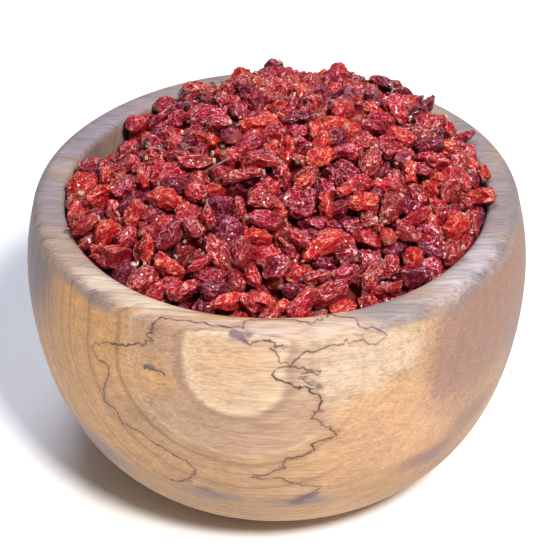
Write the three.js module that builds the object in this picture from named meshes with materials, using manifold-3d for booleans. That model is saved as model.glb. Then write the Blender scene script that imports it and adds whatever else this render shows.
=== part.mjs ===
// A thick-walled wooden bowl turned from one block, heaped over its rim with dried barberries.
// Millimetres, +Z up, +Y away from the viewer. The origin is the centre of the bowl's foot,
// on the surface that the bowl stands on.

import * as THREE from "three";
import { mergeVertices } from "three/addons/utils/BufferGeometryUtils.js";
import Module from "manifold-3d";

const wasm = await Module();
wasm.setup();

// Bowl, outside
const BELLY_RADIUS = 60; // the widest point
const BELLY_HEIGHT = 51.5;
const BOWL_HEIGHT = 71.5;
const FOOT_RADIUS = 31; // the flat that it stands on
const RIM_OUTER_RADIUS = 57.6;
const RIM_OUTER_ROUND = 2.6;

// Bowl, inside
const RIM_INNER_RADIUS = 50;
const RIM_INNER_ROUND = 1.2;
const HOLLOW_RADIUS = 50.4; // at the belly's height
const FLOOR_THICKNESS = 9;

// Powers of the superellipse that both walls follow from the belly down
const DROP_POWER = 1.9;
const SPREAD_POWER = 4.4;

// Heap. Its levels are the tops of its berries, measured from the rim's plane.
const CROWN_LEVEL = 16; // over the bowl's axis
const EDGE_LEVEL = 1; // round the wall, on average
const LEAN = 3.4; // more of it lies at the back
const LEAN_TOWARDS = THREE.MathUtils.degToRad(82);
const DIP = 7.2; // the scooped place at the back left, where the inner wall shows
const DIP_RADIUS = 14;
const DIP_AT = polar(46, THREE.MathUtils.degToRad(145));
const CORE_DEPTH = 2.4; // the core's top lies this far below the berries' tops
const WALL_GAP = 0.5; // between the core and the wood
const BERRY_GAP = 0.35; // the least between a berry and the wood

// Berries
const BERRY_COUNT = 200;
const BERRY_LENGTH = [6.4, 10.2];
const WIDTH_SHARE = [0.56, 0.7]; // of the length
const THICKNESS_SHARE = [0.78, 0.96]; // of the width
const END_SHARE = 0.78; // of the thickness, at the berry's ends
const BERRY_SIDES = 6;
const BERRY_FORM = [ // radius and place along the berry, from the stalk's end, as shares
  [0, -1],
  [0.84, -0.52],
  [0.98, 0.38],
  [0, 1],
];
const REACH = 50.5; // the furthest that a berry's middle lies from the axis
const STEEPEST = THREE.MathUtils.degToRad(30); // of a berry's tilt out of the heap's surface
const UNEVEN = 1; // how far a berry lies above or below the heap's surface
const MOST_MOVED = 2.2; // further than this, a berry that crosses the wood is left out
const MOST_LEFT = 0.05; // of the cut, once it has been moved
const PLACES_TRIED = 90; // for each berry
const SEED = 9;

// Facets
const TURNS = 48; // round the bowl
const CORE_TURNS = 24; // round the heap's core
const WALL_STEPS = 9; // from the foot to the belly
const SHOULDER_STEPS = 4; // from the belly to the rim
const ROUND_STEPS = 3; // in a quarter turn of a rounded edge
const CROWN_RINGS = 5; // from the wall to the axis, on the core's top
const SAME_POINT = 1e-4; // vertices this near to each other are one

// A point of the ground plan.
function polar(radius, azimuth) {
  return new THREE.Vector2(radius * Math.cos(azimuth), radius * Math.sin(azimuth));
}

// The same random numbers on every run, from 0 to 1.
function seededRandom(seed) {
  let state = seed;
  return () => {
    state = (state + 0x6d2b79f5) | 0;
    let mixed = Math.imul(state ^ (state >>> 15), state | 1);
    mixed ^= mixed + Math.imul(mixed ^ (mixed >>> 7), mixed | 61);
    return ((mixed ^ (mixed >>> 14)) >>> 0) / 4294967296;
  };
}

// Profile points (radius, height) of a wall that is `widest` at the belly and would meet the axis
// `drop` below it, from where it is `narrowest` up to the belly.
function wallProfile(widest, drop, narrowest) {
  const from = Math.asin((narrowest / widest) ** (SPREAD_POWER / 2));
  const points = [];
  for (let i = 0; i <= WALL_STEPS; i++) {
    const angle = from + ((Math.PI / 2 - from) * i) / WALL_STEPS;
    const radius = widest * Math.sin(angle) ** (2 / SPREAD_POWER);
    const fall = drop * Math.max(0, Math.cos(angle)) ** (2 / DROP_POWER);
    points.push(new THREE.Vector2(radius, BELLY_HEIGHT - fall));
  }
  return points;
}

// Profile points of the outside between the belly and the rim, where the wall leans in.
function shoulderProfile(topHeight) {
  const points = [];
  for (let i = 1; i < SHOULDER_STEPS; i++) {
    const share = i / SHOULDER_STEPS;
    points.push(
      new THREE.Vector2(
        BELLY_RADIUS - (BELLY_RADIUS - RIM_OUTER_RADIUS) * share ** 2,
        BELLY_HEIGHT + (topHeight - BELLY_HEIGHT) * share,
      ),
    );
  }
  return points;
}

// A quarter circle of profile points, from one angle to the other.
function roundedEdge(centreRadius, centreHeight, radius, from, to) {
  const points = [];
  for (let i = 0; i <= ROUND_STEPS; i++) {
    const angle = from + ((to - from) * i) / ROUND_STEPS;
    points.push(
      new THREE.Vector2(
        centreRadius + radius * Math.cos(angle),
        centreHeight + radius * Math.sin(angle),
      ),
    );
  }
  return points;
}

// Turns a profile round the Z axis.
function turned(points, turns) {
  return new THREE.LatheGeometry(points, turns).rotateX(Math.PI / 2);
}

// The bowl, as one closed profile from the foot's centre, up the outside and down the inside.
function bowlGeometry() {
  const outerDrop =
    BELLY_HEIGHT /
    (1 - (FOOT_RADIUS / BELLY_RADIUS) ** SPREAD_POWER) ** (1 / DROP_POWER);
  const outside = wallProfile(BELLY_RADIUS, outerDrop, FOOT_RADIUS);
  const shoulderTop = BOWL_HEIGHT - RIM_OUTER_ROUND;
  const inside = wallProfile(HOLLOW_RADIUS, BELLY_HEIGHT - FLOOR_THICKNESS, 0);
  return turned(
    [
      new THREE.Vector2(0, 0),
      ...outside,
      ...shoulderProfile(shoulderTop),
      ...roundedEdge(
        RIM_OUTER_RADIUS - RIM_OUTER_ROUND,
        shoulderTop,
        RIM_OUTER_ROUND,
        0,
        Math.PI / 2,
      ),
      ...roundedEdge(
        RIM_INNER_RADIUS + RIM_INNER_ROUND,
        BOWL_HEIGHT - RIM_INNER_ROUND,
        RIM_INNER_ROUND,
        Math.PI / 2,
        Math.PI,
      ),
      ...inside.reverse(),
    ],
    TURNS,
  );
}

// Height of the berries' tops at a point of the ground plan.
function heapLevel(x, y) {
  const out = Math.hypot(x, y) / RIM_INNER_RADIUS;
  const azimuth = Math.atan2(y, x);
  const dome = EDGE_LEVEL + (CROWN_LEVEL - EDGE_LEVEL) * (1 - out ** 2);
  const lean = LEAN * out * Math.cos(azimuth - LEAN_TOWARDS);
  const fromDip = Math.hypot(x - DIP_AT.x, y - DIP_AT.y) / DIP_RADIUS;
  return BOWL_HEIGHT + dome + lean - DIP * Math.exp(-(fromDip ** 2));
}

// The heap's core: it fills the hollow, clear of the wood, up to the berries that lie on it.
function coreGeometry() {
  const widest = HOLLOW_RADIUS - WALL_GAP;
  const edge = RIM_INNER_RADIUS - WALL_GAP;
  const sides = wallProfile(widest, BELLY_HEIGHT - FLOOR_THICKNESS - WALL_GAP, 0);
  const top = [];
  for (let ring = CROWN_RINGS; ring >= 0; ring--) {
    top.push(new THREE.Vector2((edge * ring) / CROWN_RINGS, BOWL_HEIGHT));
  }
  const geometry = turned([...sides, ...top], CORE_TURNS);
  const position = geometry.getAttribute("position");
  const midShoulder = (BELLY_HEIGHT + BOWL_HEIGHT) / 2;
  for (let i = 0; i < position.count; i++) {
    if (position.getZ(i) > midShoulder) {
      position.setZ(i, heapLevel(position.getX(i), position.getY(i)) - CORE_DEPTH);
    }
  }
  return geometry;
}

// How far a point above the belly is from the wood of the rim, with its edges taken as square.
function clearOfWood(point) {
  const radius = Math.hypot(point.x, point.y);
  const above = point.z - BOWL_HEIGHT;
  const inside = RIM_INNER_RADIUS - radius;
  if (above < 0) return inside;
  return inside > 0 ? Math.hypot(inside, above) : above;
}

// Three balls along a berry stand for it while it is placed: the middle and both ends.
function ballsOf(berry) {
  const endRadius = berry.halfThickness * END_SHARE;
  const reach = berry.halfLength - endRadius;
  return [-1, 0, 1].map((side) => ({
    centre: berry.centre.clone().addScaledVector(berry.along, side * reach),
    radius: side === 0 ? berry.halfThickness : endRadius,
  }));
}

// How far a berry cuts into the wood or the gap that it keeps to it.
function woodCut(berry) {
  const cuts = ballsOf(berry).map(
    (ball) => berry.halfWidth + BERRY_GAP - clearOfWood(ball.centre),
  );
  return Math.max(...cuts);
}

// The gap between two berries, below 0 where they overlap.
function gapBetween(balls, others) {
  let gap = Infinity;
  for (const a of balls) {
    for (const b of others) {
      gap = Math.min(gap, a.centre.distanceTo(b.centre) - a.radius - b.radius);
    }
  }
  return gap;
}

// A berry of the given size in the heap's surface, over a spot of the ground plan.
function berryAt(spot, yaw, tilt, lift, size) {
  const level = heapLevel(spot.x, spot.y);
  const flat = polar(1, yaw);
  const rise = heapLevel(spot.x + flat.x, spot.y + flat.y) - level + Math.tan(tilt);
  return {
    ...size,
    along: new THREE.Vector3(flat.x, flat.y, rise).normalize(),
    centre: new THREE.Vector3(spot.x, spot.y, level - size.halfThickness + lift),
  };
}

// A berry at a random place. One that would cross the wood is lifted onto the rim where the heap
// is higher than that, or else moved inwards, and is left out where that isn't enough.
function drawBerry(random, size) {
  const spot = polar(REACH * Math.sqrt(random()), 2 * Math.PI * random());
  const yaw = 2 * Math.PI * random();
  const tilt = STEEPEST * (2 * random() - 1);
  const lift = UNEVEN * (2 * random() - 1);
  let berry = berryAt(spot, yaw, tilt, lift, size);
  const cut = woodCut(berry);
  if (cut > MOST_MOVED) return null;
  if (cut > 0 && berry.centre.z > BOWL_HEIGHT + size.halfThickness / 2) {
    berry.centre.z += cut;
  } else if (cut > 0) {
    berry = berryAt(spot.setLength(spot.length() - cut), yaw, tilt, lift, size);
  }
  return woodCut(berry) > MOST_LEFT ? null : berry;
}

// Lays the berries on the heap, the largest first, each at the roomiest of some random places.
function layBerries() {
  const random = seededRandom(SEED);
  const between = ([low, high]) => low + (high - low) * random();
  const placed = [];
  for (let i = 0; i < BERRY_COUNT; i++) {
    const length = THREE.MathUtils.lerp(BERRY_LENGTH[1], BERRY_LENGTH[0], i / BERRY_COUNT);
    const width = length * between(WIDTH_SHARE);
    const thickness = width * between(THICKNESS_SHARE);
    const size = {
      halfLength: length / 2,
      halfWidth: width / 2,
      halfThickness: thickness / 2,
    };
    let best = null;
    for (let place = 0; place < PLACES_TRIED; place++) {
      const berry = drawBerry(random, size);
      if (!berry) continue;
      const balls = ballsOf(berry);
      const gap = Math.min(...placed.map((other) => gapBetween(balls, other.balls)));
      if (!best || gap > best.gap) best = { ...berry, balls, gap };
    }
    if (best) placed.push(best);
  }
  return placed;
}

// A berry: an egg shape with few sides, a little flattened.
function berryGeometry(berry) {
  const across = new THREE.Vector3(0, 0, 1).cross(berry.along).normalize();
  const down = across.clone().cross(berry.along);
  const place = new THREE.Matrix4()
    .makeBasis(across, berry.along, down)
    .setPosition(berry.centre);
  const form = BERRY_FORM.map(([radius, along]) => new THREE.Vector2(radius, along));
  return new THREE.LatheGeometry(form, BERRY_SIDES)
    .scale(berry.halfWidth, berry.halfLength, berry.halfThickness)
    .applyMatrix4(place);
}

// A closed geometry as a solid, with its shared vertices merged.
function solidOf(geometry) {
  const bare = geometry.clone();
  bare.deleteAttribute("normal");
  bare.deleteAttribute("uv");
  const merged = mergeVertices(bare, SAME_POINT);
  return new wasm.Manifold(
    new wasm.Mesh({
      numProp: 3,
      vertProperties: merged.getAttribute("position").array,
      triVerts: new Uint32Array(merged.index.array),
    }),
  );
}

// A solid as a geometry.
function geometryOf(solid) {
  const mesh = solid.getMesh();
  return new THREE.BufferGeometry()
    .setAttribute("position", new THREE.BufferAttribute(mesh.vertProperties, 3))
    .setIndex(new THREE.BufferAttribute(mesh.triVerts, 1));
}

// The core with its berries fused on. A berry that nothing holds and a sealed gap come off as
// bodies of their own, and only the largest body is kept.
function heapGeometry() {
  const berries = layBerries().map((berry) => solidOf(berryGeometry(berry)));
  const fused = berries.reduce((heap, berry) => heap.add(berry), solidOf(coreGeometry()));
  const bodies = fused.decompose();
  return geometryOf(bodies.reduce((a, b) => (b.volume() > a.volume() ? b : a)));
}

// A named mesh with its own material.
function piece(name, geometry, color, roughness) {
  const material = new THREE.MeshStandardMaterial({ color, roughness, metalness: 0 });
  const mesh = new THREE.Mesh(geometry, material);
  mesh.name = name;
  return mesh;
}

const bowlOfBarberries = new THREE.Group();
bowlOfBarberries.add(piece("bowl", bowlGeometry(), 0xc79b6c, 0.62));
bowlOfBarberries.add(piece("barberries", heapGeometry(), 0x9c2226, 0.42));

export default bowlOfBarberries;
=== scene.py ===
"""A bowl of dried barberries: the finish of a turned wooden bowl and of the berries heaped in it.

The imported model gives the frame. Lengths in this script are millimetres until they become meshes,
which are in metres. +Z is up, +Y is away from the viewer and +X is to the right.
"""
import itertools
import math

import bpy
import numpy as np
from mathutils import Matrix, Vector, kdtree


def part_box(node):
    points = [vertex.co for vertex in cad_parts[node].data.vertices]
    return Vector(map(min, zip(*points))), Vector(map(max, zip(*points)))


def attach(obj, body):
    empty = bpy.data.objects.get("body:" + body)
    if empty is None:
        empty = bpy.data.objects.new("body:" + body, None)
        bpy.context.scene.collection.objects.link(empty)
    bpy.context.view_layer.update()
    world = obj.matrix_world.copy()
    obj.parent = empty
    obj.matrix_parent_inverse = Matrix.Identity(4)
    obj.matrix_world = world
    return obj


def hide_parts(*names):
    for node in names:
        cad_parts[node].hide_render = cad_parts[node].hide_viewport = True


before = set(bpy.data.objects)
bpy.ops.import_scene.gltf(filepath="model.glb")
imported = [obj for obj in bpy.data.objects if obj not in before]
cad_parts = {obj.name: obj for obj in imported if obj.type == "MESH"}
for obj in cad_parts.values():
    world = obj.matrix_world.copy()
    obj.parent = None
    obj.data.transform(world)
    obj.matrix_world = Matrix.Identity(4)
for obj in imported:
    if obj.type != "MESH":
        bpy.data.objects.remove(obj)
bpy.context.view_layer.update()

MM = 0.001
BODY = "root"

# ---- bowl: sizes, in millimetres

BOWL_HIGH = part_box("bowl")[1]
BELLY_RADIUS = BOWL_HIGH.x / MM
BOWL_HEIGHT = BOWL_HIGH.z / MM
BELLY_HEIGHT = 51.5
FOOT_RADIUS = 31.0
RIM_OUTER_RADIUS = 0.96 * BELLY_RADIUS
RIM_OUTER_ROUND = 2.6
RIM_INNER_RADIUS = 50.0
RIM_INNER_ROUND = 1.2
HOLLOW_RADIUS = 50.4
FLOOR_THICKNESS = 9.0
DROP_POWER = 1.9
SPREAD_POWER = 4.4

TURNS = 264  # coarse cells round the bowl
CELL = 1.3  # height of a coarse cell on the wall
SPLIT = 5  # fine cells along a coarse one, near the dark lines
LINE_REACH = 3.0  # distances from a dark line count up to this

# ---- heap: sizes, in millimetres

CROWN_LEVEL = 16.0  # these levels are over the rim
EDGE_LEVEL = 1.0
LEAN = 3.4  # how much higher the heap's edge is on the side that it leans towards
LEAN_TOWARDS = math.radians(82)
DIP = 7.2
DIP_RADIUS = 14.0
DIP_AT = (46 * math.cos(math.radians(145)), 46 * math.sin(math.radians(145)))
SAG = 2.6  # how much lower the berries lie along the wall at the back left
SAG_MIDDLE, SAG_REACH = math.radians(154), math.radians(24)

SEED = 2024
BERRY_COUNT = 600
SLAB = 9.5  # the berries fill this depth under the heap's surface
START_REACH = 50.5  # the packing starts with all the berries' middles within this radius
SHAKES = 420  # steps of the packing
SETTLING = 0.02, 0.7  # how far the berries sink in a step, and in which share of the steps
PAIR_STEPS, PAIR_GAP = 12, 12.5  # how often near pairs are looked up, and how near they are
# How much of an overlap one step clears: of berries, of hollows, of the wood and of levels.
BERRY_SHARE, HOLLOW_SHARE, WOOD_SHARE, LEVEL_SHARE = 0.42, 0.3, 0.8, 0.5
CORE_DEPTH = 6.5  # the core's top is this far under the heap's surface
CORE_REACH = RIM_INNER_RADIUS - 0.6
CORE_FOOT, CORE_BOTTOM = 45.4, 30.0  # radius and height at which the core ends, clear of the wall
HEAP_REACH = 53.0  # no berry lies further out than this
WOOD_GAP = 0.12  # the least room between a berry's mesh and the wood
BALL_GAP = 0.15  # the same for the balls that stand for a berry in the packing
PIXEL = 0.5  # step of the grid on which the berries that show are found
SIGHT = 400  # steps along each side of that grid
NEAR_AREA, PART_AREA = 19.0, 3.0  # square millimetres that show: a fine mesh, a plainer one


# ---- camera, and places in the picture

PICTURE = 554  # pixels along each side
FOCAL = 1964.8  # pixels
ELEVATION = math.radians(35.74)
ROLL = -0.0126
CAMERA_AIM = Vector((0, 0, 0.7652 * BELLY_RADIUS))
CAMERA_DISTANCE = 8 * BELLY_RADIUS
CAMERA_PLACE = CAMERA_AIM + CAMERA_DISTANCE * Vector((0, -math.cos(ELEVATION), math.sin(ELEVATION)))
CAMERA_TURN = (CAMERA_AIM - CAMERA_PLACE).to_track_quat("-Z", "Y").to_matrix() @ Matrix.Rotation(ROLL, 3, "Z")
PIXELS_A_MM = 4.25  # at the heap


def on_heap(across, down, depth=0.0):
    """The point of the heap, `depth` under its surface, that shows at a pixel of the picture."""
    way = CAMERA_TURN @ Vector((across - PICTURE / 2, PICTURE / 2 - down, -FOCAL)).normalized()
    run = np.linspace(6.5, 9.5, 3001)[:, None] * BELLY_RADIUS  # from before the bowl to behind it
    line = np.array(CAMERA_PLACE) + run * np.array(way)
    above = line[:, 2] - heap_level(line[:, 0], line[:, 1]) + depth
    inside = np.where(above < 0)[0]
    return line[inside[0] if len(inside) else np.argmin(above)]


# ---- small helpers


def polar(radius, azimuth_deg):
    """A point of the ground plan; azimuth 0 is the front, and it grows towards +X."""
    angle = np.radians(azimuth_deg)
    return radius * np.sin(angle), -radius * np.cos(angle)


def smooth(low, high, value):
    """0 below low, 1 above high, and a smooth step between."""
    share = np.clip((value - low) / (high - low), 0, 1)
    return share * share * (3 - 2 * share)


def lattice(cell, seed):
    """A fixed random number from -1 to 1 for each whole-numbered cell (n, 3)."""
    mixed = cell[:, 0] * 374761393 + cell[:, 1] * 668265263 + cell[:, 2] * 2147483647 + seed * 144665
    mixed = (mixed ^ (mixed >> 13)) * 1274126177
    mixed = mixed ^ (mixed >> 16)
    return (mixed & 0xFFFF) / 32767.5 - 1


def noise(points, size, seed):
    """Smooth random values from about -1 to 1 at points (n, 3), with lumps `size` across."""
    scaled = np.asarray(points, float) / size + 1000
    cell = np.floor(scaled).astype(np.int64)
    part = scaled - cell
    weight = part * part * (3 - 2 * part)
    total = np.zeros(len(scaled))
    for corner in itertools.product((0, 1), repeat=3):
        share = np.prod(np.where(corner, weight, 1 - weight), axis=1)
        total += share * lattice(cell + np.array(corner), seed)
    return total


def new_object(name, data):
    obj = bpy.data.objects.new(name, data)
    bpy.context.scene.collection.objects.link(obj)
    return obj


def unit(vectors):
    """Vectors (n, 3) of length 1 with the same directions."""
    return vectors / np.linalg.norm(vectors, axis=1)[:, None]


def mesh_object(name, points_mm, faces, attributes):
    """A smooth-shaded mesh object from points in millimetres."""
    mesh = bpy.data.meshes.new(name)
    mesh.from_pydata([tuple(p) for p in np.asarray(points_mm) * MM], [], faces)
    mesh.update()
    return finished(name, mesh, attributes)


def grid_mesh(name, points_mm, quads, attributes):
    """A large smooth mesh of quads and triangles, set from arrays; a triangle repeats its last."""
    mesh = bpy.data.meshes.new(name)
    sizes = np.where(quads[:, 2] == quads[:, 3], 3, 4)
    loops = np.concatenate([quads[:, :3], quads[:, 3:]], axis=1)
    keep = np.ones_like(loops, bool)
    keep[:, 3] = sizes == 4
    mesh.vertices.add(len(points_mm))
    mesh.vertices.foreach_set("co", (points_mm * MM).astype(np.float32).ravel())
    mesh.loops.add(int(sizes.sum()))
    mesh.loops.foreach_set("vertex_index", loops[keep].astype(np.int32))
    mesh.polygons.add(len(quads))
    mesh.polygons.foreach_set("loop_start", np.concatenate([[0], np.cumsum(sizes)[:-1]]).astype(np.int32))
    mesh.update(calc_edges=True)
    mesh.validate()
    return finished(name, mesh, attributes)


def finished(name, mesh, attributes):
    """The smooth-shaded object of a mesh, with values or vectors kept at its points for its material."""
    mesh.shade_smooth()
    for key, values in attributes.items():
        values = np.asarray(values, np.float32)
        vector = values.ndim == 2
        layer = mesh.attributes.new(key, "FLOAT_VECTOR" if vector else "FLOAT", "POINT")
        layer.data.foreach_set("vector" if vector else "value", values.ravel())
    return new_object(name, mesh)


def piece(obj, material, slot, *replaced):
    """Gives a finished object its material, and hands it to the frame."""
    obj.data.materials.append(material)
    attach(obj, BODY)
    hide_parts(*replaced)


# ---- bowl: form


def wall(widest, drop, narrowest, step):
    """Profile (radius, height) of a wall from where it is `narrowest` up to the belly."""
    start = math.asin((narrowest / widest) ** (SPREAD_POWER / 2))
    angle = np.linspace(start, math.pi / 2, 2000)
    radius = widest * np.sin(angle) ** (2 / SPREAD_POWER)
    height = BELLY_HEIGHT - drop * np.clip(np.cos(angle), 0, 1) ** (2 / DROP_POWER)
    return resampled(np.column_stack([radius, height]), step)


def resampled(line, step):
    """The same line with its points `step` apart."""
    along = np.concatenate([[0], np.cumsum(np.linalg.norm(np.diff(line, axis=0), axis=1))])
    count = max(2, int(round(along[-1] / step)) + 1)
    at = np.linspace(0, along[-1], count)
    return np.column_stack([np.interp(at, along, line[:, k]) for k in range(line.shape[1])])


def edge_round(radius, centre_radius, centre_height, start_deg):
    """A quarter circle of profile points."""
    angle = np.radians(np.linspace(start_deg, start_deg + 90, 30))
    return np.column_stack([centre_radius + radius * np.cos(angle), centre_height + radius * np.sin(angle)])


def bowl_profile():
    """The profile from the foot's edge up the outside, over the rim and down the inside."""
    outer_drop = BELLY_HEIGHT / (1 - (FOOT_RADIUS / BELLY_RADIUS) ** SPREAD_POWER) ** (1 / DROP_POWER)
    shoulder_top = BOWL_HEIGHT - RIM_OUTER_ROUND
    share = np.linspace(0, 1, 200)
    shoulder = np.column_stack([
        BELLY_RADIUS - (BELLY_RADIUS - RIM_OUTER_RADIUS) * share**2,
        BELLY_HEIGHT + (shoulder_top - BELLY_HEIGHT) * share,
    ])
    return np.concatenate([
        wall(BELLY_RADIUS, outer_drop, FOOT_RADIUS, 0.1),
        shoulder,
        edge_round(RIM_OUTER_ROUND, RIM_OUTER_RADIUS - RIM_OUTER_ROUND, shoulder_top, 0),
        edge_round(RIM_INNER_ROUND, RIM_INNER_RADIUS + RIM_INNER_ROUND, BOWL_HEIGHT - RIM_INNER_ROUND, 90),
        wall(HOLLOW_RADIUS, BELLY_HEIGHT - FLOOR_THICKNESS, 1.0, 0.1)[::-1],
    ])


PROFILE = resampled(bowl_profile(), 0.05)
PROFILE_RUN = np.concatenate([[0], np.cumsum(np.linalg.norm(np.diff(PROFILE, axis=0), axis=1))])
# A place on the bowl is (azimuth in degrees, run): the run is counted in millimetres from the
# rim's inner edge, outwards over the rim and down the outside.
INNER_EDGE_RUN = PROFILE_RUN[
    np.argmax((PROFILE[:, 1] > BOWL_HEIGHT - 2 * RIM_INNER_ROUND) & (PROFILE[:, 0] < RIM_INNER_RADIUS + 0.4))
]


def on_bowl(azimuth_deg, run):
    """Points in space (n, 3) of places on the bowl."""
    from_foot = INNER_EDGE_RUN - np.asarray(run, float)
    radius = np.interp(from_foot, PROFILE_RUN, PROFILE[:, 0])
    height = np.interp(from_foot, PROFILE_RUN, PROFILE[:, 1])
    x, y = polar(radius, azimuth_deg)
    return np.column_stack([x, y, height])


# ---- bowl: dark lines in the wood

# Each line: how dark it is, and its places on the bowl.
SPALT_LINES = {
    "left": (0.95, [(-7.5, 4.2), (-14, 4.6), (-19, 4.4), (-24, 5), (-27, 6.2), (-28, 8), (-27.4, 8.8),
        (-29, 10), (-28, 11.4), (-29.6, 12.6), (-34.5, 14.8), (-39.5, 16.4), (-43, 18), (-44, 20),
        (-42, 21.6), (-39, 22.6), (-39.5, 26), (-40.6, 27.6), (-41.4, 33.4), (-37.5, 35), (-36.4, 38),
        (-31.5, 38.6), (-27.5, 41), (-20, 44.6), (-19, 45.6), (-19.6, 48), (-21.6, 51), (-27, 54)]),
    "loop": (0.8, [(-7.5, 4), (-7.4, 1.6), (-4.5, 1), (2, 1), (5.5, 2), (8, 3), (10, 1.6), (14, 1.4),
        (18, 3), (18.6, 6.4), (21.4, 7.4), (23.5, 9), (24, 10), (21, 11), (18.5, 9.6), (15, 9),
        (10.5, 9.6), (6, 10.4), (4.4, 11), (2.4, 13)]),
    "from blotch": (0.9, [(-7.4, 7.4), (-6, 8), (-1.5, 7.4), (1.6, 8)]),
    "to diamond": (0.9, [(-1.6, 9), (0, 10.6), (1, 12.4), (2.4, 13.4)]),
    "diamond": (0.95, [(2.4, 13.4), (0, 14), (-1.6, 15), (-0.4, 16.4), (2, 17.6), (4.4, 18.8), (7, 20),
        (8.6, 21.4), (9, 23), (8.6, 25), (7, 27.4), (9, 29.4), (12, 31.4), (12, 33), (10.4, 33.6),
        (7, 35), (7.4, 37), (3.6, 39), (1.6, 39.6), (1, 41.4), (1, 43), (-1, 44), (-6, 46)]),
    "upper tongue": (0.75, [(2.4, 13.4), (5, 14), (9, 15), (8, 15.6), (5.4, 15.4)]),
    "lower tongue": (0.75, [(5.6, 16.6), (6.4, 18), (9, 18.4), (7, 19.4)]),
    "knot": (0.9, [(-29.8, 18.9), (-28.6, 17.8), (-27.6, 18.4), (-26, 18.2), (-24.4, 19)]),
    "foot": (0.9, [(-6, 46), (-0.4, 46), (3.6, 48.4), (9.6, 51), (8, 53), (5, 55.4)]),
    "back long": (0.85, [(118, 9), (122, 15), (131, 18), (135, 24), (146, 26), (150, 33), (161, 35),
        (166, 31), (178, 33), (186, 40), (199, 42), (204, 50), (215, 54)]),
    "back loop": (0.8, [(150, 33), (155, 25), (168, 21), (176, 13), (190, 11), (203, 16), (209, 24),
        (221, 28), (226, 36), (238, 39)]),
    "back short": (0.6, [(186, 40), (180, 47), (171, 50), (168, 58)]),
}
# Smudges of the same black: azimuth, run, radius, strength.
SMUDGES = [
    (-9.6, 6.3, 1.1, 0.8), (-8.2, 6.7, 1.4, 0.85), (-6.4, 6.1, 1.1, 0.75), (-7.4, 7.6, 0.9, 0.6),
    (-0.6, 8.6, 0.8, 0.5), (1.2, 8.8, 0.8, 0.45), (5.6, 16.2, 1.0, 0.6), (7.4, 17.4, 0.8, 0.6),
    (8.4, 19.2, 0.8, 0.55), (-27.8, 8.6, 1.2, 0.4), (-28.2, 18, 1.1, 0.65), (-26.2, 18.4, 0.6, 0.5),
    (8.6, 25.6, 0.7, 0.5), (0.8, 42.2, 0.9, 0.5), (-19.4, 47.4, 0.8, 0.45), (6.6, 54.4, 2.2, 0.7),
    (4.2, 56.8, 2.2, 0.6), (8.2, 53.4, 1.2, 0.6), (-18, 53.5, 2.0, 0.6), (-15, 55.2, 1.8, 0.5),
    (-21.5, 51.6, 1.0, 0.5), (150, 33, 1.4, 0.6), (204, 49, 1.2, 0.5),
]


def line_points(places, seed):
    """Points close together along a dark line, with the small waver of the real ones."""
    flat = resampled(np.array(places, float) * (math.radians(1) * BELLY_RADIUS, 1), 0.12)
    along = np.column_stack([flat, np.zeros(len(flat))])
    jagged = np.clip(0.2 + 1.3 * noise(along, 4.0, seed + 5), 0, 1)[:, None]
    for size, amount in ((2.0, 0.42), (0.8, 0.28), (0.7, 0.75 * jagged)):
        flat = flat + amount * np.column_stack([noise(along, size, seed + k) for k in range(2)])
        seed += 2
    return on_bowl(np.degrees(flat[:, 0] / BELLY_RADIUS), flat[:, 1])


def line_tree():
    """All the dark lines' points in one search tree, with the darkness at each."""
    points, dark = [], []
    for number, (strength, places) in enumerate(SPALT_LINES.values()):
        fine = line_points(places, 40 + 11 * number)
        wane = 0.86 + 0.3 * noise(fine, 6.0, 7 + number)
        points.append(fine)
        dark.append(strength * np.clip(wane, 0.6, 1.05))
    points, dark = np.concatenate(points), np.concatenate(dark)
    tree = kdtree.KDTree(len(points))
    for index, point in enumerate(points):
        tree.insert(point, index)
    tree.balance()
    return tree, dark


# ---- bowl: mesh


def build_bowl():
    """The bowl, with small faces where the dark lines run and larger ones elsewhere."""
    rows, columns = int(round(PROFILE_RUN[-1] / CELL)), TURNS * SPLIT
    run = INNER_EDGE_RUN - np.linspace(0, PROFILE_RUN[-1], rows * SPLIT + 1)
    azimuth = np.arange(columns) * 360 / columns
    tree, dark = line_tree()
    near = np.zeros((rows, TURNS), bool)
    middle_azimuth = (np.arange(TURNS) + 0.5) * 360 / TURNS
    for i in range(rows):
        middle_run = run[i * SPLIT + SPLIT // 2]
        if middle_run >= -1:
            places = on_bowl(middle_azimuth, np.full(TURNS, middle_run))
            near[i] = [tree.find(place)[2] < CELL * 1.15 for place in places]

    faces = []
    for i in range(rows):
        for j in range(TURNS):
            a, b = i * SPLIT, j * SPLIT
            if near[i, j]:
                faces += [fine_quad(a + u, b + v, columns) for u in range(SPLIT) for v in range(SPLIT)]
            else:
                faces.append(coarse_face(near, i, j, columns))
    foot_edge = list(range(0, columns, SPLIT))
    last = rows * SPLIT * columns
    faces += [foot_edge[::-1], [last + b for b in foot_edge]]

    used = np.unique(np.concatenate([np.array(f) for f in faces]))
    number = np.full(len(run) * columns, -1)
    number[used] = np.arange(len(used))
    faces = [[int(number[v]) for v in face][::-1] for face in faces]
    run, azimuth = run[used // columns], azimuth[used % columns]
    points = on_bowl(azimuth, run)
    found = [tree.find(p) for p in points]
    attributes = wood_attributes(points, run, azimuth)
    attributes["line_distance"] = np.minimum([f[2] for f in found], LINE_REACH)
    attributes["line_dark"] = dark[[f[1] for f in found]]
    return mesh_object("turned_bowl", points, faces, attributes)


def fine_quad(row, column, columns):
    """One face of the fine grid."""
    right = (column + 1) % columns
    return [row * columns + column, row * columns + right, (row + 1) * columns + right,
            (row + 1) * columns + column]


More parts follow.
